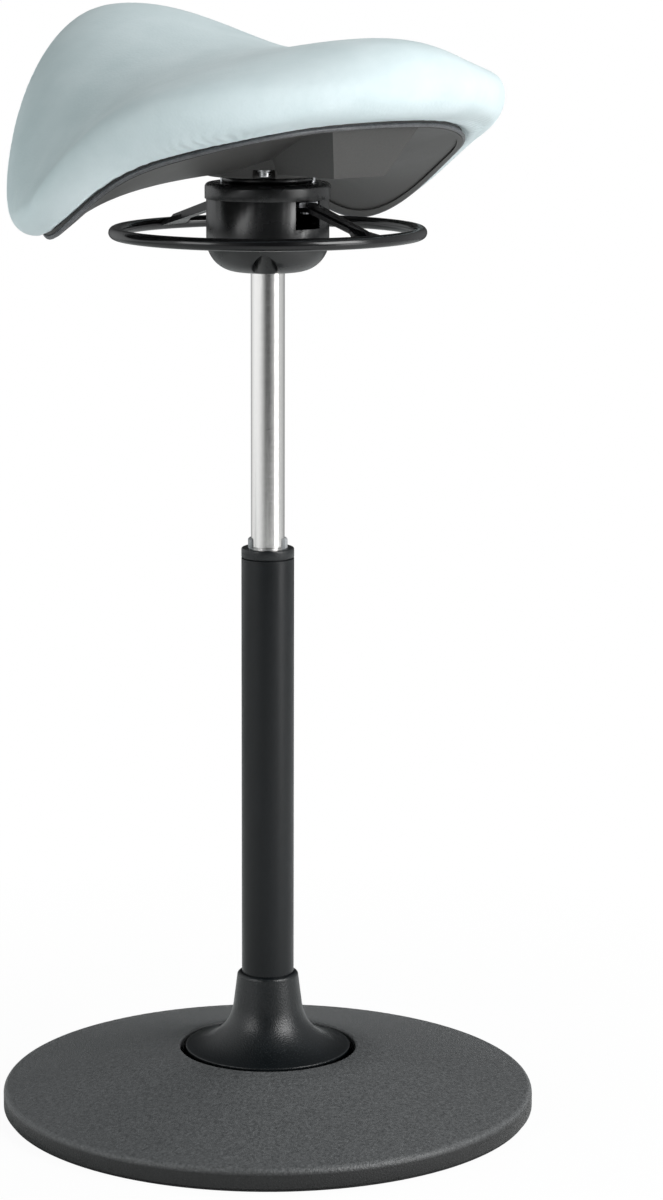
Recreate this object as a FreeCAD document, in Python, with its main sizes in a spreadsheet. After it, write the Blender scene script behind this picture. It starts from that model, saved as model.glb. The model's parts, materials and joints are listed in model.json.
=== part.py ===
import FreeCAD, Part
import math
import os
import re
import Sketcher
from FreeCAD import Rotation, Vector

# A height-adjustable saddle stool: weighted round base, column that tilts in a rubber bush,
# gas spring, release ring under the seat and an upholstered saddle. Millimetres, +Z up,
# origin on the floor at the centre of the base, +Y towards the high end of the saddle.

SIZES = {
    # Base: floor ring, plate, iron weight and the conical casing over them
    "base_radius": 225.8,
    "ring_height": 3,
    "ring_width": 28,
    "ring_inset": 2,
    "plate_radius": 221.5,
    "plate_height": 2,
    "weight_inner": 95,
    "weight_outer": 200,
    "weight_height": 9,
    "casing_wall": 3,
    "casing_edge": 14,
    "casing_shoulder": 20,
    "casing_top": 52,
    "casing_corner": 6,
    "mouth_radius": 75,
    "mouth_skirt": 40,
    "mouth_round": 2,
    # Tilt joint: steel housing, rubber bush and the socket that it holds
    "housing_bore": 40.05,
    "housing_outer": 46,
    "housing_top": 36,
    "flange_radius": 66,
    "flange_height": 4,
    "housing_fillet": 3,
    "housing_bolt_ring": 56,
    "bolt_shank": 3,
    "bolt_head": 5,
    "bolt_head_height": 4,
    "bush_bottom": 9,
    "bush_top": 35,
    "bush_outer": 40,
    "bush_round": 2,
    "sliding_gap": 0.05,
    "socket_radius": 24,
    "socket_bottom": 12,
    "socket_collar": 30,
    "socket_collar_height": 5,
    "socket_bore": 14,
    "web_bottom": 72,
    "web_top": 80,
    # Column tube with its boot, end cap and guide
    "tube_radius": 22.05,
    "tube_bore": 20,
    "tube_bottom": 42,
    "tube_top": 474,
    "cap_top": 483,
    "guide_bottom": 420,
    "guide_top": 491,
    "guide_collar": 16.5,
    "lug_half_width": 7,
    "lug_turn": 45,
    "cap_groove": 1.2,
    "cap_round": 1.5,
    "boot_foot": 70,
    "boot_bottom": 50,
    "boot_wall": 2.5,
    "boot_flare": 45,
    "boot_waist": 34.6,
    "boot_waist_height": 73,
    "boot_neck": 29.3,
    "boot_neck_height": 88,
    "boot_lip": 26,
    "boot_lip_round": 3,
    "boot_top": 117,
    # Gas spring: rod, bearing, piston and pressure tube
    "rod_radius": 5,
    "rod_bottom": 66,
    "rod_top": 378,
    "rod_neck": 4,
    "rod_shoulder": 9,
    "rod_shoulder_height": 4,
    "clip_height": 69.2,
    "clip_thickness": 1.4,
    "washer_radius": 18,
    "washer_thickness": 2.5,
    "ball_radius": 2.45,
    "ball_ring": 12,
    "ball_count": 9,
    "cage_half_width": 4,
    "cage_half_height": 0.6,
    "piston_height": 14,
    "piston_radius": 12.4,
    "seal_half_height": 2,
    "seal_depth": 2,
    "nut_radius": 7,
    "nut_height": 4,
    "spring_radius": 14,
    "spring_bore": 12.5,
    "spring_bottom": 350,
    "spring_top": 750,
    "taper_bottom": 720,
    "taper_radius": 13.6,
    "gland_height": 20,
    "valve_bottom": 690,
    "pin_radius": 2,
    "pin_bottom": 700,
    "pin_top": 763.7,
    # Hub under the seat
    "hub_bottom": 713,
    "hub_radius": 50.5,
    "hub_bowl": 26,
    "hub_wall": 3.5,
    "hub_boss": 18,
    "pillar_radius": 6,
    "hub_floor": 748,
    "hub_top": 773,
    "window_width": 26,
    "access_radius": 9,
    "access_ring": 35,
    "access_depth": 22,
    "housing_screw_end": 781,
    "hub_bolt_shank": 4,
    "hub_bolt_head": 6,
    "cap_radius": 51.75,
    "hub_cap_top": 786,
    "hub_cap_round": 4,
    "spacer_radius": 37,
    "spacer_hollow": 5,
    "pedestal_bottom": 791.5,
    # Release ring
    "lever_radius": 125.7,
    "lever_wire": 5,
    "lever_height": 745,
    "spoke_inner": 40,
    "spoke_width": 10,
    "rib_width": 5,
    "yoke_bottom": 768,
    "yoke_top": 772,
    "yoke_width": 20,
    "yoke_reach": 50,
    "tongue_bottom": 764,
    "spoke_bend": 54,
    "spoke_drop": 4,
    "button_radius": 8,
    "rivet_shank": 2,
    "rivet_head": 3.5,
    "rivet_head_height": 1.5,
    "foot_length": 22,
    "foot_spread": 16,
    "foot_thickness": 4,
    # Seat: pedestal, spine and the plate that is moulded into them
    "pedestal_radius": 51,
    "pedestal_draft": 57,
    "pedestal_round": 2,
    "pedestal_top": 820,
    "spine_bottom": 795.5,
    "spine_half_width": 27.5,
    "spine_front": 110,
    "spine_back": 120,
    "spine_draft": 40,
    "spine_top": 880,
    "insert_radius": 50,
    "insert_bottom": 806,
    "insert_height": 4,
    "seat_screw_ring": 46,
    "seat_screw_head_height": 4.5,
    "seat_screw_end": 814,
    "seat_washer_radius": 6.7,
    "seat_washer_thickness": 1.5,
    "notch_radius": 9.5,
    "notch_top": 799,
    "notch_offset": 2,
    # Saddle: plan of the edge roll, its height round the edge and the crown of the top
    "plan_centre": 18,
    "plan_mean": 177.4,
    "plan_egg": 6.2,
    "plan_square": -10.5,
    "plan_corner": 1.3,
    "seat_half_length": 190,
    "edge_mean": 839.8,
    "edge_lean": -7,
    "edge_flap": 47,
    "edge_twist": 28.8,
    "edge_round": 1.8,
    "edge_turn": -3.3,
    "roll_mean": 23.1,
    "roll_taper": 9.4,
    "roll_ends": 4.3,
    "roll_least": 5,
    "crown_valley": 895,
    "crown_lean": 19.5,
    "crown_rise": 64.2,
    "crown_skew": -6.8,
    "crown_fall": 49.3,
    "pad_thickness": 57,
    "pad_taper": 15,
    "pad_thin": 10,
    "pad_belly": 38,
    "belly_reach": 0.45,
    "cover_thickness": 2,
    "shell_thickness": 5,
    "rim_depth": 6.5,
    "rim_width": 4.5,
    "rim_setback": 5,
    "station_count": 15,
    "station_first": 10,
    "shell_station_count": 11,
    "shell_station_first": 12,
}

doc = FreeCAD.newDocument("saddle_stool")
sheet = doc.addObject("Spreadsheet::Sheet", "Sizes")
for row, (alias, number) in enumerate(SIZES.items(), start=1):
    sheet.set(f"A{row}", alias)
    sheet.set(f"B{row}", str(number))
    sheet.setAlias(f"B{row}", alias)
doc.recompute()

NODES = []


def linked(formula):
    """Write a formula of size names as an expression on the sheet's cells."""
    return re.sub(r"[a-z][a-z_]*", lambda word: "Sizes." + word.group(0), str(formula))


def size(formula):
    """The value of a formula of size names, in millimetres."""
    return float(sheet.evalExpression(linked(formula)))


def bind(thing, **formulas):
    """Bind properties of an object to formulas of size names."""
    for name, formula in formulas.items():
        thing.setExpression(name, linked(formula))
    return thing


def node(thing, label):
    """Give a finished sub-part its name and put it on the list of pieces."""
    thing.Label = label
    NODES.append(thing)
    return thing


def origin_plane(body, role):
    """One of a body's own origin planes or axes."""
    for feature in body.Origin.OriginFeatures:
        if feature.Role == role:
            return feature
    raise ValueError(role)


def sketch_on(body, role, name):
    """A new sketch on one of the body's origin planes."""
    sketch = body.newObject("Sketcher::SketchObject", name)
    sketch.AttachmentSupport = [(origin_plane(body, role), "")]
    sketch.MapMode = "FlatFace"
    return sketch


def arc_between(start, end, radius, side):
    """The arc of a given radius that bulges left (1) or right (-1) of the way from start to end."""
    chord = end - start
    half = chord.Length / 2
    left = Vector(-chord.y, chord.x, 0).normalize()
    crest = (start + end) / 2 + left * side * (radius - math.sqrt(radius ** 2 - half ** 2))
    return Part.Arc(start, crest, end) if side < 0 else Part.Arc(end, crest, start)


def outline(sketch, corners):
    """Draw a closed outline of corners (across, up), or (across, up, radius, side) before an arc."""
    points = [Vector(size(corner[0]), size(corner[1]), 0) for corner in corners]
    ends = []
    for index, corner in enumerate(corners):
        start = points[index]
        end = points[(index + 1) % len(points)]
        if len(corner) == 2:
            edge = sketch.addGeometry(Part.LineSegment(start, end), False)
            ends.append((edge, 1, 2))
            continue
        edge = sketch.addGeometry(arc_between(start, end, size(corner[2]), corner[3]), False)
        ends.append((edge, 1, 2) if corner[3] < 0 else (edge, 2, 1))
        radius = sketch.addConstraint(Sketcher.Constraint("Radius", edge, size(corner[2])))
        sketch.setExpression(f"Constraints[{radius}]", linked(corner[2]))
    for index, (edge, first, last) in enumerate(ends):
        following = ends[(index + 1) % len(ends)]
        sketch.addConstraint(Sketcher.Constraint("Coincident", edge, last, following[0], following[1]))
        for kind, formula in (("DistanceX", corners[index][0]), ("DistanceY", corners[index][1])):
            place = sketch.addConstraint(Sketcher.Constraint(kind, edge, first, size(formula)))
            sketch.setExpression(f"Constraints[{place}]", linked(formula))


def turned(label, corners):
    """A body turned round the Z axis from an outline of (radius, height) corners."""
    body = doc.addObject("PartDesign::Body", label + "_body")
    sketch = sketch_on(body, "XZ_Plane", label + "_profile")
    outline(sketch, corners)
    turn = body.newObject("PartDesign::Revolution", label + "_turn")
    turn.Profile = sketch
    turn.ReferenceAxis = (sketch, ["V_Axis"])
    turn.Angle = 360
    doc.recompute()
    return body


def turned_set(label, ring, corners, count, start_angle=0):
    """Identical turned pieces on a circle: corners are (radius from the piece's own axis, height)."""
    body = doc.addObject("PartDesign::Body", label + "_body")
    body.AllowCompound = True
    sketch = sketch_on(body, "XZ_Plane", label + "_profile")
    outline(sketch, [(f"{ring} + {corner[0]}",) + tuple(corner[1:]) for corner in corners])
    low = Vector(size(ring), size(corners[0][1]), 0)
    axis = sketch.addGeometry(Part.LineSegment(low, low + Vector(0, 1, 0)), True)
    sketch.addConstraint(Sketcher.Constraint("Vertical", axis))
    place = sketch.addConstraint(Sketcher.Constraint("DistanceX", axis, 1, size(ring)))
    sketch.setExpression(f"Constraints[{place}]", linked(ring))
    turn = body.newObject("PartDesign::Revolution", label + "_turn")
    turn.Profile = sketch
    turn.ReferenceAxis = (sketch, ["Axis0"])
    turn.Angle = 360
    doc.recompute()
    pattern = body.newObject("PartDesign::PolarPattern", label + "_circle")
    pattern.Originals = [turn]
    pattern.Axis = (origin_plane(body, "Z_Axis"), [""])
    pattern.Angle = 360
    pattern.Occurrences = int(count)
    body.Tip = pattern
    body.Placement.Rotation = Rotation(Vector(0, 0, 1), start_angle)
    doc.recompute()
    return body


def cut(base, *tools):
    """Cut one object by others, one after the other."""
    for tool in tools:
        result = doc.addObject("Part::Cut", base.Name + "_cut")
        result.Base = base
        result.Tool = tool
        base = result
    doc.recompute()
    return base


def fuse(*things):
    """Join objects into one solid."""
    result = doc.addObject("Part::MultiFuse", things[0].Name + "_joined")
    result.Shapes = list(things)
    result.Refine = False
    doc.recompute()
    return result


def wire_object(name, edges):
    """Keep a closed section as an object of the document, for a loft to run through."""
    section = doc.addObject("Part::Feature", name)
    section.Shape = Part.Wire(edges)
    return section


def loft(name, sections, ruled=False):
    """A solid through closed sections."""
    result = doc.addObject("Part::Loft", name)
    result.Sections = sections
    result.Solid = True
    result.Ruled = ruled
    doc.recompute()
    return result


def base_pieces():
    """Floor ring, plate, iron weight, conical casing and the bolted housing of the tilt bush."""
    floor = "ring_height + plate_height"
    bolts = turned_set("housing_bolts", "housing_bolt_ring", [
        (0, "ring_height"),
        ("bolt_shank", "ring_height"),
        ("bolt_shank", f"{floor} + flange_height"),
        ("bolt_head", f"{floor} + flange_height"),
        ("bolt_head", f"{floor} + flange_height + bolt_head_height"),
        (0, f"{floor} + flange_height + bolt_head_height"),
    ], 6)
    plate = turned("base_plate", [
        (0, "ring_height"),
        ("plate_radius", "ring_height"),
        ("plate_radius", floor),
        (0, floor),
    ])
    housing = turned("bush_housing", [
        ("housing_bore", floor),
        ("flange_radius", floor),
        ("flange_radius", f"{floor} + flange_height"),
        ("housing_outer + housing_fillet", f"{floor} + flange_height", "housing_fillet", -1),
        ("housing_outer", f"{floor} + flange_height + housing_fillet"),
        ("housing_outer", "housing_top"),
        ("housing_bore", "housing_top"),
    ])
    node(turned("floor_ring", [
        ("base_radius - ring_inset - ring_width", 0),
        ("base_radius - ring_inset", 0),
        ("base_radius - ring_inset", "ring_height"),
        ("base_radius - ring_inset - ring_width", "ring_height"),
    ]), "floor_ring")
    node(cut(plate, bolts), "base_plate")
    node(cut(housing, bolts), "bush_housing")
    node(bolts, "housing_bolts")
    node(turned("base_weight", [
        ("weight_inner", floor),
        ("weight_outer", floor),
        ("weight_outer", f"{floor} + weight_height"),
        ("weight_inner", f"{floor} + weight_height"),
    ]), "base_weight")
    # The casing's top is a low cone; a skirt runs down inside its mouth
    node(turned("base_casing", [
        ("base_radius", "ring_height"),
        ("base_radius", "casing_edge", "casing_corner", -1),
        ("base_radius - casing_corner + 1", "casing_shoulder"),
        ("mouth_radius + mouth_round", "casing_top", "mouth_round", -1),
        ("mouth_radius", "casing_top - mouth_round"),
        ("mouth_radius", "mouth_skirt"),
        ("mouth_radius + casing_wall", "mouth_skirt"),
        ("mouth_radius + casing_wall", "casing_top - casing_wall - 0.6"),
        ("base_radius - casing_corner - 1", "casing_shoulder - casing_wall"),
        ("base_radius - casing_wall", "casing_edge - 1"),
        ("base_radius - casing_wall", "ring_height"),
    ]), "base_casing")


def column_pieces():
    """Rubber bush, socket, tube, boot, end cap, guide and the lower bearing washer."""
    node(turned("tilt_bush", [
        ("socket_radius + sliding_gap", "bush_bottom"),
        ("bush_outer - bush_round", "bush_bottom", "bush_round", -1),
        ("bush_outer", "bush_bottom + bush_round"),
        ("bush_outer", "bush_top - bush_round", "bush_round", -1),
        ("bush_outer - bush_round", "bush_top"),
        ("socket_radius + sliding_gap", "bush_top"),
    ]), "tilt_bush")
    node(turned("column_socket", [
        ("socket_bore", "socket_bottom"),
        ("socket_radius", "socket_bottom"),
        ("socket_radius", "tube_bottom - socket_collar_height"),
        ("socket_collar", "tube_bottom - socket_collar_height"),
        ("socket_collar", "tube_bottom"),
        ("tube_bore", "tube_bottom"),
        ("tube_bore", "web_top"),
        ("rod_radius + 0.1", "web_top"),
        ("rod_radius + 0.1", "web_bottom"),
        ("socket_bore", "web_bottom"),
    ]), "column_socket")
    node(turned("column_tube", [
        ("tube_bore", "tube_bottom"),
        ("tube_radius", "tube_bottom"),
        ("tube_radius", "tube_top"),
        ("tube_bore", "tube_top"),
    ]), "column_tube")
    # The boot flares from a lip round the tube to a foot that fills the casing's mouth
    node(turned("column_boot", [
        ("boot_foot - boot_wall - 1", "boot_bottom"),
        ("boot_foot", "boot_bottom"),
        ("boot_foot", "boot_bottom + 2.5", "boot_flare", 1),
        ("boot_waist", "boot_waist_height", "boot_flare", 1),
        ("boot_neck", "boot_neck_height"),
        ("boot_lip", "boot_top - boot_lip_round", "boot_lip_round", -1),
        ("boot_lip - boot_lip_round", "boot_top"),
        ("tube_radius + 0.25", "boot_top"),
        ("tube_radius + 0.25", "boot_neck_height + 10"),
        ("boot_neck - boot_wall", "boot_neck_height", "boot_flare", -1),
        ("boot_waist - boot_wall", "boot_waist_height - 1", "boot_flare", -1),
    ]), "column_boot")
    node(turned("tube_cap", [
        ("guide_collar + 0.1", "tube_top"),
        ("tube_radius - cap_groove", "tube_top"),
        ("tube_radius - cap_groove", "tube_top + cap_groove"),
        ("tube_radius", "tube_top + cap_groove"),
        ("tube_radius", "cap_top - cap_round", "cap_round", -1),
        ("tube_radius - cap_round", "cap_top"),
        ("guide_collar + 0.1", "cap_top"),
    ]), "tube_cap")
    # Above the cap only two lugs of the collar are left, one on each side of the tube
    gaps = []
    for side in (1, -1):
        gap = doc.addObject("Part::Box", "collar_gap")
        turn = size("lug_turn") + (0 if side > 0 else 180)
        gap.Placement.Rotation = FreeCAD.Rotation(FreeCAD.Vector(0, 0, 1), turn)
        corner = gap.Placement.Rotation.multVec(
            FreeCAD.Vector(size("lug_half_width"), -2 * size("guide_collar"), size("cap_top")))
        gap.Placement.Base = corner
        bind(gap, Length="2 * guide_collar", Width="4 * guide_collar", Height="guide_top")
        gaps.append(gap)
    bush = turned("guide_bush", [
        ("spring_radius + sliding_gap", "guide_bottom"),
        ("tube_bore", "guide_bottom"),
        ("tube_bore", "tube_top"),
        ("guide_collar", "tube_top"),
        ("guide_collar", "guide_top - 1"),
        ("guide_collar - 1", "guide_top"),
        ("spring_radius + sliding_gap", "guide_top"),
    ])
    node(cut(bush, *gaps), "guide_bush")
    node(turned("lower_washer", [
        ("rod_radius + 1", "web_top"),
        ("washer_radius", "web_top"),
        ("washer_radius", "web_top + washer_thickness"),
        ("rod_radius + 1", "web_top + washer_thickness"),
    ]), "lower_washer")


def gas_spring_pieces():
    """Rod with its clip and thrust bearing, piston, pressure tube, gland, valve and pin."""
    balls_middle = "web_top + washer_thickness + 0.1 + ball_radius"
    upper = f"{balls_middle} + ball_radius"
    shoulder = f"{upper} + washer_thickness"
    balls = turned_set("thrust_balls", "ball_ring", [
        (0, f"{balls_middle} - ball_radius", "ball_radius", -1),
        ("ball_radius", balls_middle, "ball_radius", -1),
        (0, f"{balls_middle} + ball_radius"),
    ], size("ball_count"))
    cage = turned("ball_cage", [
        ("ball_ring - cage_half_width", f"{balls_middle} - cage_half_height"),
        ("ball_ring + cage_half_width", f"{balls_middle} - cage_half_height"),
        ("ball_ring + cage_half_width", f"{balls_middle} + cage_half_height"),
        ("ball_ring - cage_half_width", f"{balls_middle} + cage_half_height"),
    ])
    node(cut(cage, balls), "ball_cage")
    node(balls, "thrust_balls")
    node(turned("upper_washer", [
        ("rod_radius", upper),
        ("washer_radius", upper),
        ("washer_radius", shoulder),
        ("rod_radius", shoulder),
    ]), "upper_washer")
    node(turned("rod_clip", [
        ("rod_neck", "clip_height"),
        ("rod_shoulder", "clip_height"),
        ("rod_shoulder", "clip_height + clip_thickness"),
        ("rod_neck", "clip_height + clip_thickness"),
    ]), "rod_clip")
    node(turned("piston_rod", [
        (0, "rod_bottom"),
        ("rod_radius", "rod_bottom"),
        ("rod_radius", "clip_height"),
        ("rod_neck", "clip_height"),
        ("rod_neck", "clip_height + clip_thickness"),
        ("rod_radius", "clip_height + clip_thickness"),
        ("rod_radius", shoulder),
        ("rod_shoulder", shoulder),
        ("rod_shoulder", f"{shoulder} + rod_shoulder_height"),
        ("rod_radius", f"{shoulder} + rod_shoulder_height"),
        ("rod_radius", "rod_top"),
        ("rod_neck", "rod_top"),
        ("rod_neck", "rod_top + piston_height + nut_height + 1"),
        (0, "rod_top + piston_height + nut_height + 1"),
    ]), "piston_rod")
    node(turned("piston", [
        ("rod_neck", "rod_top"),
        ("piston_radius", "rod_top"),
        ("piston_radius", "rod_top + piston_height / 2 - seal_half_height"),
        ("piston_radius - seal_depth", "rod_top + piston_height / 2 - seal_half_height"),
        ("piston_radius - seal_depth", "rod_top + piston_height / 2 + seal_half_height"),
        ("piston_radius", "rod_top + piston_height / 2 + seal_half_height"),
        ("piston_radius", "rod_top + piston_height"),
        ("rod_neck", "rod_top + piston_height"),
    ]), "piston")
    node(turned("piston_seal", [
        ("piston_radius - seal_depth", "rod_top + piston_height / 2 - seal_half_height"),
        ("piston_radius + sliding_gap", "rod_top + piston_height / 2 - seal_half_height"),
        ("piston_radius + sliding_gap", "rod_top + piston_height / 2 + seal_half_height"),
        ("piston_radius - seal_depth", "rod_top + piston_height / 2 + seal_half_height"),
    ]), "piston_seal")
    node(turned("piston_nut", [
        ("rod_neck", "rod_top + piston_height"),
        ("nut_radius", "rod_top + piston_height"),
        ("nut_radius", "rod_top + piston_height + nut_height"),
        ("rod_neck", "rod_top + piston_height + nut_height"),
    ]), "piston_nut")
    # The pressure tube slides on the piston and ends in a slight taper that wedges into the hub
    node(turned("pressure_tube", [
        ("spring_bore", "spring_bottom"),
        ("spring_radius", "spring_bottom"),
        ("spring_radius", "taper_bottom"),
        ("taper_radius", "spring_top"),
        ("spring_bore", "spring_top"),
    ]), "pressure_tube")
    node(turned("tube_gland", [
        ("rod_radius + 0.06", "spring_bottom"),
        ("spring_bore", "spring_bottom"),
        ("spring_bore", "spring_bottom + gland_height"),
        ("rod_radius + 0.06", "spring_bottom + gland_height"),
    ]), "tube_gland")
    node(turned("valve_body", [
        ("pin_radius + sliding_gap", "valve_bottom"),
        ("spring_bore", "valve_bottom"),
        ("spring_bore", "spring_top"),
        ("pin_radius + sliding_gap", "spring_top"),
    ]), "valve_body")
    node(turned("valve_pin", [
        (0, "pin_bottom"),
        ("pin_radius", "pin_bottom"),
        ("pin_radius", "pin_top - 0.6"),
        ("pin_radius - 0.6", "pin_top"),
        (0, "pin_top"),
    ]), "valve_pin")


# The fixings of the hub sit on its diagonals, clear of the two windows
DIAGONAL = 45


def hub_pieces():
    """Housing with its two windows, cap, spacer and the screws that hold them to the seat."""
    screws = turned_set("housing_screws", "access_ring", [
        (0, "hub_bottom + access_depth - bolt_head_height"),
        ("bolt_head", "hub_bottom + access_depth - bolt_head_height"),
        ("bolt_head", "hub_bottom + access_depth"),
        ("bolt_shank", "hub_bottom + access_depth"),
        ("bolt_shank", "housing_screw_end"),
        (0, "housing_screw_end"),
    ], 2, DIAGONAL)
    bolts = turned_set("hub_bolts", "access_ring", [
        (0, "hub_top - bolt_head_height"),
        ("hub_bolt_head", "hub_top - bolt_head_height"),
        ("hub_bolt_head", "hub_top"),
        ("hub_bolt_shank", "hub_top"),
        ("hub_bolt_shank", "insert_bottom + insert_height"),
        (0, "insert_bottom + insert_height"),
    ], 2, DIAGONAL + 90)
    access = turned_set("access_holes", "access_ring", [
        (0, "hub_bottom - 5"),
        ("access_radius", "hub_bottom - 5"),
        ("access_radius", "hub_bottom + access_depth"),
        (0, "hub_bottom + access_depth"),
    ], 2, DIAGONAL)
    pillars = turned_set("pillars", "access_ring", [
        (0, "hub_floor - 2"),
        ("pillar_radius", "hub_floor - 2"),
        ("pillar_radius", "hub_top"),
        (0, "hub_top"),
    ], 2, DIAGONAL)
    bowl = turned("hub_bowl", [
        ("spring_radius", "hub_bottom"),
        ("hub_radius - hub_bowl", "hub_bottom", "hub_bowl", -1),
        ("hub_radius", "hub_bottom + hub_bowl"),
        ("hub_radius", "hub_top"),
        ("hub_radius - hub_wall", "hub_top"),
        ("hub_radius - hub_wall", "hub_floor"),
        ("hub_boss", "hub_floor"),
        ("hub_boss", "spring_top"),
        ("taper_radius", "spring_top"),
        ("spring_radius", "taper_bottom"),
    ])
    windows = doc.addObject("Part::Box", "windows")
    bind(windows, Length="window_width", Width="4 * hub_radius", Height="hub_top - spring_top")
    bind(windows, **{"Placement.Base.x": "-window_width / 2", "Placement.Base.y": "-2 * hub_radius"})
    bind(windows, **{"Placement.Base.z": "spring_top"})
    cap = turned("hub_cap", [
        (0, "hub_top"),
        ("cap_radius", "hub_top"),
        ("cap_radius", "hub_cap_top - hub_cap_round", "hub_cap_round", -1),
        ("cap_radius - hub_cap_round", "hub_cap_top"),
        (0, "hub_cap_top"),
    ])
    spacer = turned("seat_spacer", [
        (0, "hub_cap_top"),
        ("spacer_radius", "hub_cap_top", "spacer_hollow", -1),
        ("spacer_radius", "pedestal_bottom"),
        (0, "pedestal_bottom"),
    ])
    node(cut(fuse(bowl, pillars), windows, access, screws), "hub_housing")
    node(cut(cap, screws, bolts), "hub_cap")
    node(cut(spacer, bolts), "seat_spacer")
    node(screws, "housing_screws")
    node(bolts, "hub_bolts")
    return bolts


def side_plate(label, corners, width):
    """A plate of a given width across X from an outline of (along Y, height) corners."""
    body = doc.addObject("PartDesign::Body", label + "_body")
    sketch = sketch_on(body, "YZ_Plane", label + "_outline")
    outline(sketch, corners)
    pad = body.newObject("PartDesign::Pad", label + "_pad")
    pad.Profile = sketch
    pad.SideType = "Symmetric"
    bind(pad, Length=width)
    doc.recompute()
    return body


def upright_frame(label, along, half_width, low, high):
    """A rectangle across X at one station along Y."""
    corners = [
        Vector(-half_width, along, low),
        Vector(half_width, along, low),
        Vector(half_width, along, high),
        Vector(-half_width, along, high),
    ]
    return wire_object(label, Part.makePolygon(corners + corners[:1]).Edges)


def lever_pieces():
    """Release ring with two sloping spokes, the yoke that joins them and its rivets."""
    rivets = turned_set("yoke_rivets", "(yoke_reach + spoke_inner) / 2", [
        (0, "tongue_bottom - rivet_head_height"),
        ("rivet_head", "tongue_bottom - rivet_head_height"),
        ("rivet_head", "tongue_bottom"),
        ("rivet_shank", "tongue_bottom"),
        ("rivet_shank", "yoke_top"),
        (0, "yoke_top"),
    ], 2, 90)
    hoop = doc.addObject("Part::Torus", "hoop")
    bind(hoop, Radius1="lever_radius", Radius2="lever_wire")
    bind(hoop, **{"Placement.Base.z": "lever_height"})
    # Each spoke runs level through its window and then slopes down to the hoop
    flange = side_plate("spoke_flange", [
        ("-spoke_inner", "tongue_bottom"),
        ("-spoke_inner", "yoke_bottom"),
        ("-spoke_bend", "yoke_bottom"),
        ("-lever_radius", "lever_height + spoke_drop - 1"),
        ("-lever_radius", "lever_height - 1"),
        ("-spoke_bend", "tongue_bottom"),
    ], "spoke_width")
    rib = side_plate("spoke_rib", [
        ("-yoke_reach - 1", "yoke_bottom - 1"),
        ("-yoke_reach - 1", "yoke_top"),
        ("-spoke_bend - 2", "yoke_top"),
        ("-lever_radius + 2 * spoke_drop", "lever_height + 2 * spoke_drop"),
        ("-lever_radius + spoke_drop / 2", "lever_height + spoke_drop - 1"),
        ("-spoke_bend", "yoke_bottom - 1"),
    ], "rib_width")
    height = size("lever_height")
    reach = size("lever_radius")
    thickness = size("foot_thickness")
    start = height + size("lever_wire")
    narrow = upright_frame("foot_start", size("foot_length") - reach, size("spoke_width") / 2,
                           start, start + thickness)
    wide = upright_frame("foot_end", 1 - reach, size("foot_spread"),
                         height - thickness + 1, height + thickness - 1)
    foot = loft("spoke_foot", [narrow, wide], ruled=True)
    spoke = fuse(flange, rib, foot)
    opposite = doc.addObject("Part::Mirroring", "opposite_spoke")
    opposite.Source = spoke
    opposite.Normal = Vector(0, 1, 0)
    bar = doc.addObject("Part::Box", "yoke_bar")
    bind(bar, Length="yoke_width", Width="2 * yoke_reach", Height="yoke_top - yoke_bottom")
    bind(bar, **{"Placement.Base.x": "-yoke_width / 2", "Placement.Base.y": "-yoke_reach"})
    bind(bar, **{"Placement.Base.z": "yoke_bottom"})
    button = doc.addObject("Part::Cylinder", "yoke_button")
    bind(button, Radius="button_radius", Height="yoke_top - tongue_bottom")
    bind(button, **{"Placement.Base.z": "tongue_bottom"})
    node(cut(fuse(hoop, spoke, opposite), rivets), "release_ring")
    node(cut(fuse(bar, button), rivets), "release_yoke")
    node(rivets, "yoke_rivets")


def plan_radius(angle):
    """Radius and slope of the edge roll's centre line in plan, by the angle from the high end."""
    radius = size("plan_mean")
    slope = 0.0
    for turns, name in enumerate(("plan_egg", "plan_square", "plan_corner"), start=1):
        radius += size(name) * math.cos(turns * angle)
        slope -= turns * size(name) * math.sin(turns * angle)
    return radius, slope


def plan_point(angle):
    """Point of the edge roll's centre line in plan, and the outward normal there."""
    radius, slope = plan_radius(angle)
    point = Vector(radius * math.sin(angle), size("plan_centre") + radius * math.cos(angle), 0)
    run = slope * math.sin(angle) + radius * math.cos(angle)
    fall = slope * math.cos(angle) - radius * math.sin(angle)
    return point, Vector(-fall, run, 0).normalize()


def edge_height(angle):
    """Height of the edge roll's centre line: low flaps at the sides, high at the two ends."""
    waves = ("edge_mean", "edge_lean", "edge_flap", "edge_twist", "edge_round", "edge_turn")
    return sum(size(name) * math.cos(turns * angle) for turns, name in enumerate(waves))


def lengthwise(along):
    """Place along the seat, from -1 at the low end to 1 at the high end."""
    return (along - size("plan_centre")) / size("seat_half_length")


def roll_radius(along):
    """Radius of the edge roll, fuller towards the low end."""
    place = lengthwise(along)
    return size("roll_mean") - size("roll_taper") * place + size("roll_ends") * place ** 2


def crown_height(along):
    """Height of the top on the middle line: a valley between two raised ends."""
    place = lengthwise(along)
    return (size("crown_valley") + size("crown_lean") * place + size("crown_rise") * place ** 2
            + size("crown_skew") * place ** 3 - size("crown_fall") * place ** 4)


def pad_depth(along):
    """Thickness of the padding on the middle line, with a belly that comes down to the pedestal."""
    place = lengthwise(along)
    belly = size("pad_belly") * math.exp(-(place / size("belly_reach")) ** 2)
    return size("pad_thickness") - size("pad_taper") * place - size("pad_thin") * place ** 2 + belly


def middle_heights(along):
    """Top and bottom of the padding on the middle line, rounded off past the roll's two ends."""
    for angle in (0, math.pi):
        end, outward = plan_point(angle)
        past = (along - end.y) * outward.y
        if past > 0:
            share = math.sqrt(1 - (past / roll_radius(end.y)) ** 2)
            middle = edge_height(angle)
            top = crown_height(end.y)
            bottom = top - pad_depth(end.y)
            return middle + (top - middle) * share, middle + (bottom - middle) * share
    top = crown_height(along)
    return top, top - pad_depth(along)


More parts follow.
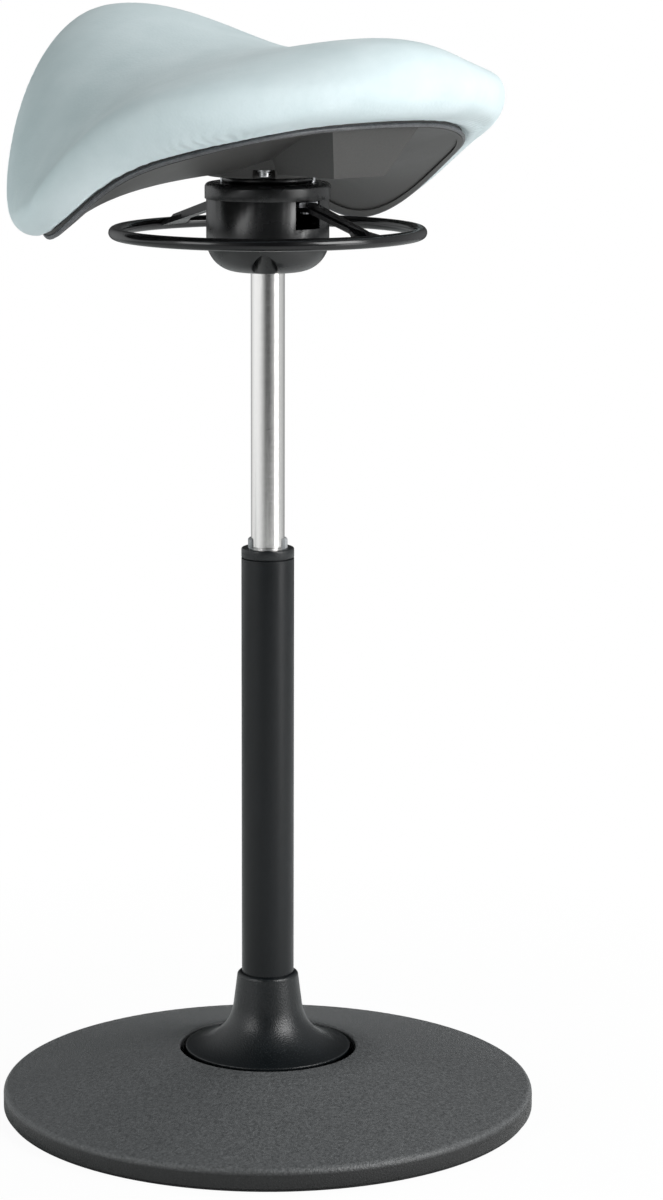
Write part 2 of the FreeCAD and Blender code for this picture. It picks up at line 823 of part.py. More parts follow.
def roll_point(angle):
    """Outermost point of the edge roll in plan, and how squarely it faces sideways."""
    point, outward = plan_point(angle)
    return point + outward * roll_radius(point.y), outward.x


def roll_angle(along):
    """The angle at which the roll's outermost line passes a station along the seat."""
    low, high = 0.0, math.pi
    for _ in range(40):
        middle = (low + high) / 2
        if roll_point(middle)[0].y > along:
            low = middle
        else:
            high = middle
    return (low + high) / 2


class Section:
    """Cross-section of the padding at one station, inset from the outside by a cover."""

    def __init__(self, along, inset):
        angle = roll_angle(along)
        outer, squareness = roll_point(angle)
        top, bottom = middle_heights(along)
        self.along = along
        self.tip = max(roll_radius(along) * squareness, size("roll_least")) - inset
        self.knuckle = Vector(outer.x - inset - self.tip, edge_height(angle), 0)
        self.top = top - inset
        self.bottom = bottom + inset
        across = self.knuckle.x ** 2 - self.tip ** 2
        above = self.top - self.knuckle.y
        below = self.bottom - self.knuckle.y
        self.top_radius = (across + above ** 2) / (2 * (above - self.tip))
        self.under_radius = (across + below ** 2) / (2 * (below + self.tip))

    def place(self, across, height):
        return Vector(across, self.along, height)

    def under_point(self, across, depth):
        """Point on the underside, or a depth below it, square to the underside."""
        centre = self.bottom - self.under_radius
        side = math.copysign(1, self.under_radius)
        height = side * math.sqrt(self.under_radius ** 2 - across ** 2)
        scale = (self.under_radius - depth) / self.under_radius
        return self.place(across * scale, centre + height * scale)

    def wire(self, name):
        """Crown, edge rolls and underside as arcs that run smoothly into each other."""
        top_centre = Vector(0, self.top - self.top_radius, 0)
        under_centre = Vector(0, self.bottom - self.under_radius, 0)
        crest = (self.knuckle - top_centre).normalize()
        hem = (under_centre - self.knuckle).normalize() * math.copysign(1, self.under_radius)
        crest_angle = math.atan2(crest.y, crest.x)
        hem_angle = math.atan2(hem.y, hem.x)
        if hem_angle > crest_angle:
            hem_angle -= 2 * math.pi
        rim = []
        for share in (0, 0.25, 0.5, 0.75, 1):
            turn = crest_angle + share * (hem_angle - crest_angle)
            spot = self.knuckle + Vector(math.cos(turn), math.sin(turn), 0) * self.tip
            rim.append((spot.x, spot.y))
        right = [self.place(across, height) for across, height in rim]
        left = [self.place(-across, height) for across, height in rim]
        arcs = [
            (left[0], self.place(0, self.top), right[0]),
            (right[0], right[1], right[2]),
            (right[2], right[3], right[4]),
            (right[4], self.place(0, self.bottom), left[4]),
            (left[4], left[3], left[2]),
            (left[2], left[1], left[0]),
        ]
        return wire_object(name, [Part.Arc(*points).toShape() for points in arcs])

    def plate_wire(self, name, half_width, high, low):
        """A strip of shell under the padding, between two depths below its underside."""
        upper = [self.under_point(across, high) for across in (-half_width, 0, half_width)]
        lower = [self.under_point(across, low) for across in (half_width, 0, -half_width)]
        edges = [
            Part.Arc(*upper).toShape(),
            Part.makeLine(upper[2], lower[0]),
            Part.Arc(*lower).toShape(),
            Part.makeLine(lower[2], upper[0]),
        ]
        return wire_object(name, edges)


def station_angles(count, first):
    """Angles of the stations, evenly spaced from near the low end to near the high end."""
    steps = int(size(count)) - 1
    start = math.radians(180 - size(first))
    end = math.radians(size(first))
    return [start + (end - start) * step / steps for step in range(steps + 1)]


def padding(name, inset):
    """The saddle's padding as a loft through sections along the seat."""
    sections = []
    for number, angle in enumerate(station_angles("station_count", "station_first")):
        along = roll_point(angle)[0].y
        along -= inset * lengthwise(along)
        sections.append(Section(along, inset).wire(f"{name}_section_{number}"))
    return loft(name, sections)


def shell_plate(name, setback, high, low):
    """A plate that follows the underside of the padding, set back from the roll's centre line."""
    sections = []
    for number, angle in enumerate(station_angles("shell_station_count", "shell_station_first")):
        point = plan_point(angle)[0]
        along = point.y - setback * lengthwise(point.y)
        section = Section(along, size("cover_thickness"))
        half_width = point.x - setback * point.x / size("plan_mean")
        sections.append(section.plate_wire(f"{name}_section_{number}", half_width, high, low))
    return loft(name, sections)


def seat_pieces(hub_bolts):
    """Moulded shell with pedestal and spine, its insert and screws, the foam and the cover."""
    seating = "notch_top - seat_washer_thickness"
    screws = turned_set("seat_screws", "seat_screw_ring", [
        (0, f"{seating} - seat_screw_head_height"),
        ("bolt_head", f"{seating} - seat_screw_head_height"),
        ("bolt_head", seating),
        ("bolt_shank", seating),
        ("bolt_shank", "seat_screw_end"),
        (0, "seat_screw_end"),
    ], 4, DIAGONAL)
    washers = turned_set("seat_washers", "seat_screw_ring", [
        ("bolt_shank", seating),
        ("seat_washer_radius", seating),
        ("seat_washer_radius", "notch_top"),
        ("bolt_shank", "notch_top"),
    ], 4, DIAGONAL)
    notches = turned_set("screw_notches", "seat_screw_ring + notch_offset", [
        (0, "pedestal_bottom - 5"),
        ("notch_radius", "pedestal_bottom - 5"),
        ("notch_radius", "notch_top"),
        (0, "notch_top"),
    ], 4, DIAGONAL)
    insert = turned("insert_plate", [
        (0, "insert_bottom"),
        ("insert_radius", "insert_bottom"),
        ("insert_radius", "insert_bottom + insert_height"),
        (0, "insert_bottom + insert_height"),
    ])
    pedestal = turned("pedestal", [
        (0, "pedestal_bottom"),
        ("pedestal_radius - pedestal_round", "pedestal_bottom", "pedestal_round", -1),
        ("pedestal_radius", "pedestal_bottom + pedestal_round"),
        ("pedestal_draft", "pedestal_top"),
        (0, "pedestal_top"),
    ])
    frames = []
    ends = (("spine_low", "spine_bottom", "0"), ("spine_high", "spine_top", "spine_draft"))
    for label, height, spread in ends:
        front = -size(f"spine_front + {spread}")
        back = size(f"spine_back + {spread}")
        half = size(f"spine_half_width + {spread}")
        level = size(height)
        corners = [Vector(half, front, level), Vector(half, back, level)]
        corners += [Vector(-half, back, level), Vector(-half, front, level)]
        frames.append(wire_object(label, Part.makePolygon(corners + corners[:1]).Edges))
    spine = loft("spine", frames, ruled=True)
    cover = padding("cover_outside", 0)
    foam = padding("foam_outside", size("cover_thickness"))
    blank = shell_plate("shell_blank", size("rim_setback"), -1, size("rim_depth"))
    recess = shell_plate("shell_recess", size("rim_setback + rim_width"), size("shell_thickness"),
                         size("rim_depth + 3"))
    # The pedestal stands up into a pocket of the foam, so that its insert has room
    plate = cut(fuse(cut(blank, recess), spine), foam)
    node(cut(fuse(plate, pedestal), notches, insert, screws, hub_bolts), "seat_shell")
    node(cut(insert, screws, hub_bolts), "insert_plate")
    node(screws, "seat_screws")
    node(washers, "seat_washers")
    node(cut(foam, pedestal), "seat_foam")
    node(cut(cover, foam, blank), "seat_cover")


def main():
    base_pieces()
    column_pieces()
    gas_spring_pieces()
    seat_bolts = hub_pieces()
    lever_pieces()
    seat_pieces(seat_bolts)
    doc.recompute()
    failed = [thing.Label for thing in doc.Objects if {"Invalid", "Error"} & set(thing.State)]
    failed += [piece.Label for piece in NODES if piece.Shape.isNull() or not piece.Shape.isValid()]
    if failed:
        raise RuntimeError("failed: " + ", ".join(failed))
    os.makedirs("parts", exist_ok=True)
    for piece in NODES:
        piece.Shape.exportStep(f"parts/{piece.Label}.step")
        solids = len(piece.Shape.Solids)
        print(f"{piece.Label}: {solids} solid(s), {piece.Shape.Volume / 1000:.2f} cm3")


main()
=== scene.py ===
# %% [markdown]
# ## A saddle stool, dressed on its CAD frame
# The stool stands on a weighted round base. A column tilts in the base, a gas spring lifts the
# saddle, and a ring under the saddle releases it. The frame holds every rigid piece at its real
# place, in metres, so this lesson adds only finishes, soft goods and small detail.

# %% Load the frame
import json
import math

import bmesh
import bpy
import numpy as np
from mathutils import Matrix, Vector, kdtree, noise
from mathutils.bvhtree import BVHTree


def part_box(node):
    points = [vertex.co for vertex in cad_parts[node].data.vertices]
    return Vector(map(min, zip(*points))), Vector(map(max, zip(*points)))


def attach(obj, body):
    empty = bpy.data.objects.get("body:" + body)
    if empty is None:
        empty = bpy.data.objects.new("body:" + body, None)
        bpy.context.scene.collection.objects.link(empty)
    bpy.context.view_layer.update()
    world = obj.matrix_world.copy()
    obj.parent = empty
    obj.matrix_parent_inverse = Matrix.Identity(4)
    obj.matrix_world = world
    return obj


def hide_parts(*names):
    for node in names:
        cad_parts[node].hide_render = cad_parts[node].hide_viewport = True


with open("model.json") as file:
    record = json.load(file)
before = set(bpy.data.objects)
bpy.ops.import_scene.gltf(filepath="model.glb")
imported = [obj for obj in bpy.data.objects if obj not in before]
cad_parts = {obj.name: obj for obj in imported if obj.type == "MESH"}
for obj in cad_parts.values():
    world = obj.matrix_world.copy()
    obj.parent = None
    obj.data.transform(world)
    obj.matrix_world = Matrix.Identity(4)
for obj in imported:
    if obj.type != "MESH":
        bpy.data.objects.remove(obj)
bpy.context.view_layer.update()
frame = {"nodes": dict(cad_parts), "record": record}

MM = 0.001
NODES = frame["nodes"]

# %% [markdown]
# ## Colour and node helpers
# Colours are written as the sRGB hex values that an eye would pick. Blender's shaders work in
# linear light, so one function turns hex to linear. Another adds a shader node with its settings
# and links in one call, which keeps each finish short enough to read as a recipe.

# %% Helpers for finishes
def linear(hex_colour):
    """sRGB hex to linear RGBA."""
    values = []
    for start in (1, 3, 5):
        channel = int(hex_colour[start:start + 2], 16) / 255
        values.append(channel / 12.92 if channel <= 0.04045 else ((channel + 0.055) / 1.055) ** 2.4)
    return (*values, 1.0)


def add_node(tree, kind, inputs=None, **settings):
    """Add a node, set its properties, then fill its sockets with values or links."""
    made = tree.nodes.new(kind)
    for name, value in settings.items():
        setattr(made, name, value)
    for socket, value in (inputs or {}).items():
        if isinstance(value, bpy.types.NodeSocket):
            tree.links.new(value, made.inputs[socket])
        else:
            made.inputs[socket].default_value = value
    return made


def new_finish(name, **constants):
    """An empty material with one Principled shader, and Object coordinates to paint by."""
    material = bpy.data.materials.new(name)
    material.use_nodes = True
    tree = material.node_tree
    tree.nodes.clear()
    shader = add_node(tree, "ShaderNodeBsdfPrincipled", constants)
    add_node(tree, "ShaderNodeOutputMaterial", {"Surface": shader.outputs["BSDF"]})
    place = add_node(tree, "ShaderNodeTexCoord").outputs["Object"]
    return material, tree, shader, place


def per_metre(size_mm):
    """Texture scale for a feature of that size in millimetres."""
    return 1.0 / (size_mm * MM)


print("helpers ready")

# %% [markdown]
# ## Moulded plastic
# Every dark piece of the stool is a moulding or a coated metal. What tells them apart is the grain
# cut into the tool, how strongly it catches light and how even the gloss is. One function covers
# the family: cell grain from Voronoi, a soft mottling of colour from Noise, and a gloss that
# varies with the same mottling. Grain finer than about a millimetre is drawn a little coarser than
# life, or the picture would lose it.

# %% Grained finishes
SPECK_TO_GRAIN = 1.6
GLOSS_SPREAD = 0.05
GRAIN_STRENGTH = 0.7


def grained(name, colour, dark, roughness, grain_mm, depth_mm, mottle_mm=35, **constants):
    """A moulded or coated surface with a fine cell grain."""
    material, tree, shader, place = new_finish(name, **constants)
    mottle = add_node(tree, "ShaderNodeTexNoise", {
        "Vector": place, "Scale": per_metre(mottle_mm), "Detail": 4.0})
    speck = add_node(tree, "ShaderNodeTexNoise", {
        "Vector": place, "Scale": per_metre(grain_mm * SPECK_TO_GRAIN), "Detail": 2.0})
    both = add_node(tree, "ShaderNodeMath", {
        0: mottle.outputs["Fac"], 1: speck.outputs["Fac"]}, operation="ADD")
    half = add_node(tree, "ShaderNodeMath", {0: both.outputs[0], 1: 0.5}, operation="MULTIPLY")
    ramp = add_node(tree, "ShaderNodeValToRGB", {"Fac": half.outputs[0]})
    low, high = ramp.color_ramp.elements
    low.position = 0.32
    low.color = linear(dark)
    high.position = 0.68
    high.color = linear(colour)
    gloss = add_node(tree, "ShaderNodeMapRange", {
        "Value": mottle.outputs["Fac"], "From Min": 0.3, "From Max": 0.7,
        "To Min": roughness - GLOSS_SPREAD, "To Max": roughness + GLOSS_SPREAD})
    cells = add_node(tree, "ShaderNodeTexVoronoi", {"Vector": place, "Scale": per_metre(grain_mm)})
    bump = add_node(tree, "ShaderNodeBump", {
        "Height": cells.outputs["Distance"], "Distance": depth_mm * MM, "Strength": GRAIN_STRENGTH})
    tree.links.new(ramp.outputs["Color"], shader.inputs["Base Color"])
    tree.links.new(gloss.outputs["Result"], shader.inputs["Roughness"])
    tree.links.new(bump.outputs["Normal"], shader.inputs["Normal"])
    return material


# Charcoal ABS with a coarse spark-eroded grain: matt, but a broad soft sheen shows on the cone
base_abs = grained("charcoal_abs_spark_grain", "#606162", "#3E3F40", 0.46, 1.5, 0.45, 3)
# Black polypropylene with a leather grain: deeper black, small bright specks
boot_pp = grained("black_polypropylene_leather_grain", "#0C1114", "#070A0C", 0.34, 1.3, 0.2)
# Black satin powder coat on steel tube: orange-peel, a long soft highlight down the side
tube_coat = grained("black_powder_coat_satin", "#090D11", "#06090B", 0.34, 0.9, 0.03,
                    **{"Specular IOR Level": 0.36})
# Black glass-filled nylon: satin, finely grained, highlights stay narrow
hub_nylon = grained("black_nylon_satin_moulding", "#0D0E0F", "#08090A", 0.27, 0.8, 0.04,
                    **{"Specular IOR Level": 0.6})
# Black smooth nylon, handled and slightly polished: the brightest highlights of the black pieces
lever_nylon = grained("black_nylon_smooth_moulding", "#09090B", "#060607", 0.18, 0.8, 0.015)
# Dark grey polypropylene: matt moulding with faint flow marks
shell_pp = grained("dark_grey_polypropylene_moulding", "#424140", "#383736", 0.46, 0.9, 0.05, 60)
# The same plastic on the bead, painted paler as a painted highlight where the rim catches the light,
# and a little shinier
bead_painted_highlight_pp = grained("grey_polypropylene_bead_painted_highlight", "#66676A", "#3E3F42", 0.34, 1.6, 0.3)
# Black non-slip rubber under the base: no shine, so the edge sinks into the shadow
floor_rubber = grained("black_moulded_rubber", "#1B1B1C", "#131314", 0.75, 1.0, 0.05)
# Light grey acetal of the guide bush: an even, waxy grey
guide_acetal = grained("light_grey_acetal", "#A2A4A6", "#929496", 0.35, 1.0, 0.02)
# Painted cast iron of the hidden weight: dull and slightly rough
dark_iron = grained("painted_cast_iron", "#2B2B2D", "#1F1F21", 0.6, 2.0, 0.2)
# Skin of moulded foam: matt cream
foam_skin = grained("moulded_foam_skin", "#D8D2B8", "#CBC4A8", 0.85, 1.4, 0.15)
print("plastics", [m.name for m in bpy.data.materials if m.users == 0])

# %% [markdown]
# ## The dark wall of the base
# The casing's low upright wall is turned away from the light and looks much darker than the cone
# above it. The moulding is one piece with one finish, so the colour that is already painted is only
# multiplied by a share that depends on the height above the floor.

# %% Darker tone below a height
WALL_HEIGHT = 16
WALL_SHARE = 0.09
WALL_BLEND = 2


def darker_below(material, height_mm, share):
    """Darken a finish below a height."""
    tree = material.node_tree
    shader = next(n for n in tree.nodes if n.bl_idname == "ShaderNodeBsdfPrincipled")
    painted = shader.inputs["Base Color"].links[0].from_socket
    place = next(n for n in tree.nodes if n.bl_idname == "ShaderNodeTexCoord").outputs["Object"]
    level = add_node(tree, "ShaderNodeSeparateXYZ", {0: place})
    above = add_node(tree, "ShaderNodeMapRange", {
        "Value": level.outputs["Z"], "From Min": (height_mm - WALL_BLEND) * MM,
        "From Max": (height_mm + WALL_BLEND) * MM, "To Min": share, "To Max": 1.0})
    toned = add_node(tree, "ShaderNodeVectorMath", {
        0: painted, "Scale": above.outputs["Result"]}, operation="SCALE")
    tree.links.new(toned.outputs["Vector"], shader.inputs["Base Color"])


darker_below(base_abs, WALL_HEIGHT, WALL_SHARE)
print("base wall darkened below", WALL_HEIGHT, "mm")

# %% [markdown]
# ## Metals
# The gas-spring tube is hard chrome on ground steel: its grinding lines run round the tube, so the
# reflection is drawn out into long vertical bands. A noise stretched round the axis gives the
# lines, and the shader's own anisotropy stays off because the lines do the work.

# %% Metal finishes
LINE_STRETCH = 0.08
METAL_GLOSS_SPREAD = 0.06


def ground_metal(name, colour, roughness, line_mm, depth_mm):
    """Metal with fine lines left by grinding round the Z axis."""
    material, tree, shader, place = new_finish(name, Metallic=1.0)
    shader.inputs["Base Color"].default_value = linear(colour)
    squeeze = add_node(tree, "ShaderNodeMapping", {
        "Vector": place, "Scale": (LINE_STRETCH, LINE_STRETCH, 1.0)})
    lines = add_node(tree, "ShaderNodeTexNoise", {
        "Vector": squeeze.outputs["Vector"], "Scale": per_metre(line_mm), "Detail": 5.0})
    gloss = add_node(tree, "ShaderNodeMapRange", {
        "Value": lines.outputs["Fac"], "From Min": 0.25, "From Max": 0.75,
        "To Min": roughness - METAL_GLOSS_SPREAD, "To Max": roughness + METAL_GLOSS_SPREAD})
    bump = add_node(tree, "ShaderNodeBump", {
        "Height": lines.outputs["Fac"], "Distance": depth_mm * MM, "Strength": 0.35})
    tree.links.new(gloss.outputs["Result"], shader.inputs["Roughness"])
    tree.links.new(bump.outputs["Normal"], shader.inputs["Normal"])
    return material


# Hard chrome: almost white, with soft-edged dark and bright bands
tube_chrome = ground_metal("hard_chrome_ground", "#ECEAE8", 0.2, 0.9, 0.006)
# Machined steel: greyer, with a duller reflection
plain_steel = ground_metal("machined_steel", "#A9AAAD", 0.32, 0.8, 0.01)
# Bright zinc plate: a cool shine that makes the small screws stand out
screw_zinc = ground_metal("bright_zinc_plate", "#D2D4D6", 0.26, 1.2, 0.01)
# Turned brass of the hidden bearing cage: warm yellow
brass_turned = ground_metal("turned_brass", "#C9A45A", 0.28, 0.8, 0.01)
print("metals", [m.name for m in (tube_chrome, plain_steel, screw_zinc, brass_turned)])

# %% [markdown]
# ## Finishes by material slot
# The CAD record names a material slot for every sub-part. A table from slot to finish dresses all of
# them in one loop, so a piece that is added to the CAD later gets its finish without a new line here.

# %% Dress the CAD nodes
FINISHES = {
    "rubber": floor_rubber, "steel": plain_steel, "iron": dark_iron, "base_plastic": base_abs,
    "black_steel": tube_coat, "boot_plastic": boot_pp, "guide_plastic": guide_acetal,
    "brass": brass_turned, "chrome": tube_chrome, "aluminium": plain_steel, "hub_plastic": hub_nylon,
    "zinc": screw_zinc, "shell_plastic": shell_pp, "foam": foam_skin, "black_lever": lever_nylon,
}


def dress(piece, finish):
    """Give a piece one finish in place of what it had."""
    piece.data.materials.clear()
    piece.data.materials.append(finish)


for subpart in frame["record"]["subparts"]:
    finish = FINISHES.get(subpart["material_slot"])
    if finish:
        dress(NODES[subpart["node"]], finish)
print("finished CAD nodes", len(NODES))

# %% [markdown]
# ## Softened edges
# No moulding has a knife edge, and it is the narrow highlight along an edge that makes a hub or a
# lever read as a real object. The CAD meshes are loose triangles, so a Weld modifier joins them
# first and a Bevel limited by angle then rounds only the sharp edges.

# %% Edge rounding on the rigid pieces
SHARP_ANGLE = math.radians(38)
JOIN_GAP = 0.01
EDGE_ROUND_MM = {
    "hub_cap": 0.8, "seat_spacer": 0.6, "release_ring": 0.9, "release_yoke": 0.5,
    "base_casing": 0.8, "tube_cap": 0.3, "column_boot": 0.5, "guide_bush": 0.3, "floor_ring": 0.6,
}


def round_edges(piece, radius_mm):
    """Add a modifier that rounds the sharp edges of a piece."""
    bevel = piece.modifiers.new("edge_radius", "BEVEL")
    bevel.width = radius_mm * MM
    bevel.segments = 2
    bevel.limit_method = "ANGLE"
    bevel.angle_limit = SHARP_ANGLE
    bevel.harden_normals = True


for name, radius in EDGE_ROUND_MM.items():
    weld = NODES[name].modifiers.new("join_triangles", "WELD")
    weld.merge_threshold = JOIN_GAP * MM
    round_edges(NODES[name], radius)
print("rounded", sorted(EDGE_ROUND_MM))

# %% [markdown]
# ## The hem line of the saddle
# Cover and shell meet along one closed line that dips at the two flaps and rises at both ends. In
# plan it is a rounded egg, and its height is a sum of a few cosines, the same that shape the CAD
# saddle. Everything that runs along the hem, such as the rim bead and the gathers in the cover, is
# measured from this line, so it is worked out once and kept as a list of points.

# %% Saddle formulas
# Sizes in millimetres. Waves are cosines of 0, 1, 2 ... times the angle from the high end
PLAN_WAVES = (177.4, 6.2, -10.5, 1.3)
EDGE_WAVES = (839.8, -7, 47, 28.8, 1.8, -3.3)
# Powers 0, 1, 2 ... of the place along the seat
ROLL_POWERS = (23.1, -9.4, 4.3)
CROWN_POWERS = (895, 19.5, 64.2, -6.8, -49.3)
DEPTH_POWERS = (57, -15, -10)
MIDDLE_DEPTH, MIDDLE_REACH = 38, 0.45
PLAN_CENTRE = 18
SEAT_HALF_LENGTH = 190
COVER = 2


def waves(sizes, angle):
    """A sum of cosines of whole turns."""
    return sum(size * math.cos(turns * angle) for turns, size in enumerate(sizes))


def powers(sizes, place):
    """A polynomial in the place along the seat."""
    return sum(size * place ** power for power, size in enumerate(sizes))


def plan_point(angle):
    """The edge roll's centre line in plan and its outward normal, by the angle from the high end."""
    radius = waves(PLAN_WAVES, angle)
    slope = -sum(turns * size * math.sin(turns * angle) for turns, size in enumerate(PLAN_WAVES))
    point = Vector((radius * math.sin(angle), PLAN_CENTRE + radius * math.cos(angle)))
    run = slope * math.sin(angle) + radius * math.cos(angle)
    fall = slope * math.cos(angle) - radius * math.sin(angle)
    return point, Vector((-fall, run)).normalized()


def lengthwise(along):
    """Place along the seat, from -1 at the low end to 1 at the high end."""
    return (along - PLAN_CENTRE) / SEAT_HALF_LENGTH


def roll_radius(along):
    """Radius of the edge roll."""
    return powers(ROLL_POWERS, lengthwise(along))


def roll_edge(angle):
    """Outermost line of the edge roll: place along, width, and how squarely it faces sideways."""
    point, outward = plan_point(angle)
    edge = point + outward * roll_radius(point.y)
    return edge.y, edge.x, outward.x


def padding_base(along):
    """Height of the padding's underside on the middle line, inside the cover."""
    place = lengthwise(along)
    depth = powers(DEPTH_POWERS, place) + MIDDLE_DEPTH * math.exp(-(place / MIDDLE_REACH) ** 2)
    return powers(CROWN_POWERS, place) - depth + COVER


print("edge roll", round(roll_radius(PLAN_CENTRE), 1), "mm in radius at the middle of the seat")

# %% [markdown]
# ## From the formulas to points
# Across the seat the padding's underside is an arc through the middle line and the two edge rolls.
# The angle that belongs to a place along the seat is found by halving, because the plan curve has
# no simple inverse. The hem then takes one point for each small step round the plan.

# %% Hem line
RIM_SETBACK = 5
HEM_STEPS = 480
LEAST_TIP = 5
HALVINGS = 30


def underside(across, along, depth=0.0):
    """A point on the padding's underside, or a depth below it, in metres."""
    low, high = 0.0, math.pi
    for _ in range(HALVINGS):
        middle = (low + high) / 2
        low, high = (middle, high) if roll_edge(middle)[0] > along else (low, middle)
    _, width, facing = roll_edge(low)
    tip = max(roll_radius(along) * facing, LEAST_TIP) - COVER
    knuckle = width - COVER - tip
    base = padding_base(along)
    below = base - waves(EDGE_WAVES, low)
    radius = (knuckle ** 2 - tip ** 2 + below ** 2) / (2 * (below + tip))
    rise = math.copysign(math.sqrt(max(radius ** 2 - across ** 2, 0)), radius)
    scale = (radius - depth) / radius
    return Vector((across * scale, along, base - radius + rise * scale)) * MM


def hem_line(setback, depth, steps=HEM_STEPS):
    """Closed line round the shell's edge, set in from the roll and a depth below the padding."""
    line = []
    for step in range(steps):
        turn = 2 * math.pi * step / steps
        point, _ = plan_point(turn if turn <= math.pi else 2 * math.pi - turn)
        along = point.y - setback * lengthwise(point.y)
        spot = underside(point.x * (1 - setback / PLAN_WAVES[0]), along, depth)
        if turn > math.pi:
            spot.x = -spot.x
        line.append(spot)
    return line


hem = hem_line(RIM_SETBACK, 0)
print("hem from", [round(v, 4) for v in hem[0]], "to", [round(v, 4) for v in hem[HEM_STEPS // 2]])

# %% [markdown]
# ## Working copies
# A CAD node's own mesh is never changed. Where a piece starts from one, it starts from a copy whose
# loose triangles are joined. Modifiers do the shaping, and new_from_object then turns the evaluated
# result into a plain mesh, so that nothing live is left on the finished piece.

# %% Helpers for copies and meshes
def into_scene(name, mesh):
    """A new object for a mesh, linked to the scene."""
    made = bpy.data.objects.new(name, mesh)
    bpy.context.scene.collection.objects.link(made)
    return made


def welded_copy(node, name, gap_mm=JOIN_GAP):
    """A loose copy of a CAD node with points closer than a gap joined."""
    mesh = NODES[node].data.copy()
    mesh.name = name
    work = bmesh.new()
    work.from_mesh(mesh)
    bmesh.ops.remove_doubles(work, verts=work.verts, dist=gap_mm * MM)
    work.to_mesh(mesh)
    work.free()
    return into_scene(name, mesh)


def make_plain(piece):
    """Replace a piece's mesh by what its modifiers make of it, and remove them."""
    graph = bpy.context.evaluated_depsgraph_get()
    piece.data = bpy.data.meshes.new_from_object(piece.evaluated_get(graph))
    piece.modifiers.clear()


def positions(mesh):
    """Vertex places as an array."""
    flat = np.empty(len(mesh.vertices) * 3, dtype=np.float32)
    mesh.vertices.foreach_get("co", flat)
    return flat.reshape(-1, 3)


def move_points(mesh, places):
    """Set all vertex places from an array."""
    mesh.vertices.foreach_set("co", places.astype(np.float32).ravel())
    mesh.update()


def shade_smooth(mesh):
    """Shade every face smooth."""
    for polygon in mesh.polygons:
        polygon.use_smooth = True


def surface_of(mesh):
    """A search tree that finds the nearest place on a mesh."""
    return BVHTree.FromPolygons([v.co for v in mesh.vertices], [p.vertices for p in mesh.polygons])


print("copy helpers ready")

# %% [markdown]
# ## Deeper flaps
# The hem of the real saddle waves a few millimetres more than the CAD loft can follow: the two flaps
# hang lower, the stretch behind each is a little higher, and the corners of the broad end droop. A
# smooth field adds this. It is a sum of three bumps round the hem and dies out towards the middle,
# where the hub is bolted on. Shell, cushion and bead all pass through the same field, so they stay
# nested. The shell is a copy that takes the CAD shell's place. Its loft has very thin triangles along
# the rim, so only points that truly coincide are joined, which leaves the copy closed.

# %% Shell with its flaps pulled down
# Degrees round the hem from the high end, spread in degrees, drop in millimetres
HEM_DROPS = ((70, 18, 8.5), (104, 15, -4.5), (142, 24, 5.5))
DROP_FADE = 4
SHELL_JOIN_GAP = 0.0001


def flaps_lowered(points):
    """Places in metres with the hem's extra waves added."""
    across = np.abs(points[:, 0])
    along = points[:, 1] - PLAN_CENTRE * MM
    turn = np.degrees(np.arctan2(across, along))
    reach = np.minimum(np.hypot(across, along) / (PLAN_WAVES[0] * MM), 1.0)
    lower = points.copy()
    for centre, spread, drop in HEM_DROPS:
        lower[:, 2] -= drop * MM * np.exp(-((turn - centre) / spread) ** 2) * reach ** DROP_FADE
    return lower


shell = welded_copy("seat_shell", "saddle_shell", SHELL_JOIN_GAP)
# The normals stored with the CAD mesh no longer fit once its points are joined and moved
loft_normals = shell.data.attributes.get("custom_normal")
if loft_normals:
    shell.data.attributes.remove(loft_normals)
shade_smooth(shell.data)
shell.data.set_sharp_from_angle(angle=SHARP_ANGLE)
move_points(shell.data, flaps_lowered(positions(shell.data)))
dress(shell, shell_pp)
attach(shell, "seat")
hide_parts("seat_shell")
print("shell", len(shell.data.polygons), "faces")

# %% [markdown]
# ## Access notches in the hub
# Two screws hold the hub together from below, and a screwdriver reaches each through a round shaft
# that breaks out of the hub's rounded bottom as an arch. The arch is tall on the real hub, so a
# copy of the CAD hub is opened a little further by two upright cylinders with a Boolean, and the
# copy takes the CAD hub's place. Its sharp edges are rounded after the cut, as a mould maker would.

# %% Hub with its two arches
NOTCH_RING, NOTCH_RADIUS = 38.5, 10.5
NOTCH_LOW, NOTCH_HIGH = 705, 735
NOTCH_TURN = math.radians(45)
NOTCH_SIDES = 64
HUB_ROUND = 0.8

work = bmesh.new()
for turn in (NOTCH_TURN, NOTCH_TURN + math.pi):
    middle = Vector((math.cos(turn), math.sin(turn), 0)) * NOTCH_RING
    middle.z = (NOTCH_LOW + NOTCH_HIGH) / 2
    bmesh.ops.create_cone(
        work, cap_ends=True, segments=NOTCH_SIDES, radius1=NOTCH_RADIUS * MM, radius2=NOTCH_RADIUS * MM,
        depth=(NOTCH_HIGH - NOTCH_LOW) * MM, matrix=Matrix.Translation(middle * MM))
cutter_mesh = bpy.data.meshes.new("notch_cutter")
work.to_mesh(cutter_mesh)
work.free()
cutter = into_scene("notch_cutter", cutter_mesh)
hub = welded_copy("hub_housing", "notched_hub")
opening = hub.modifiers.new("notches", "BOOLEAN")
opening.object = cutter
opening.operation = "DIFFERENCE"
opening.solver = "EXACT"
round_edges(hub, HUB_ROUND)
make_plain(hub)
bpy.data.objects.remove(cutter)
dress(hub, hub_nylon)
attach(hub, "seat")
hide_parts("hub_housing")
print("hub", len(hub.data.polygons), "faces")

# %% [markdown]
# ## The cushion
# The saddle is a block of moulded foam with a stretch cover pulled over it and stapled to the
# shell. Its form comes from the CAD foam. A voxel remesh gives even quads that cloth can work with,
# and the underside is held where it lies on the shell. Everywhere else the skin moves out by the
# thickness of the cover.

# %% Cushion body
VOXEL = 4.2
SOFTEN_PASSES = 3
HELD_WITHIN = 3.0
SEARCH_REACH = 20

shell_probe = welded_copy("seat_shell", "shell_probe")
shell_surface = surface_of(shell_probe.data)
bpy.data.objects.remove(shell_probe)

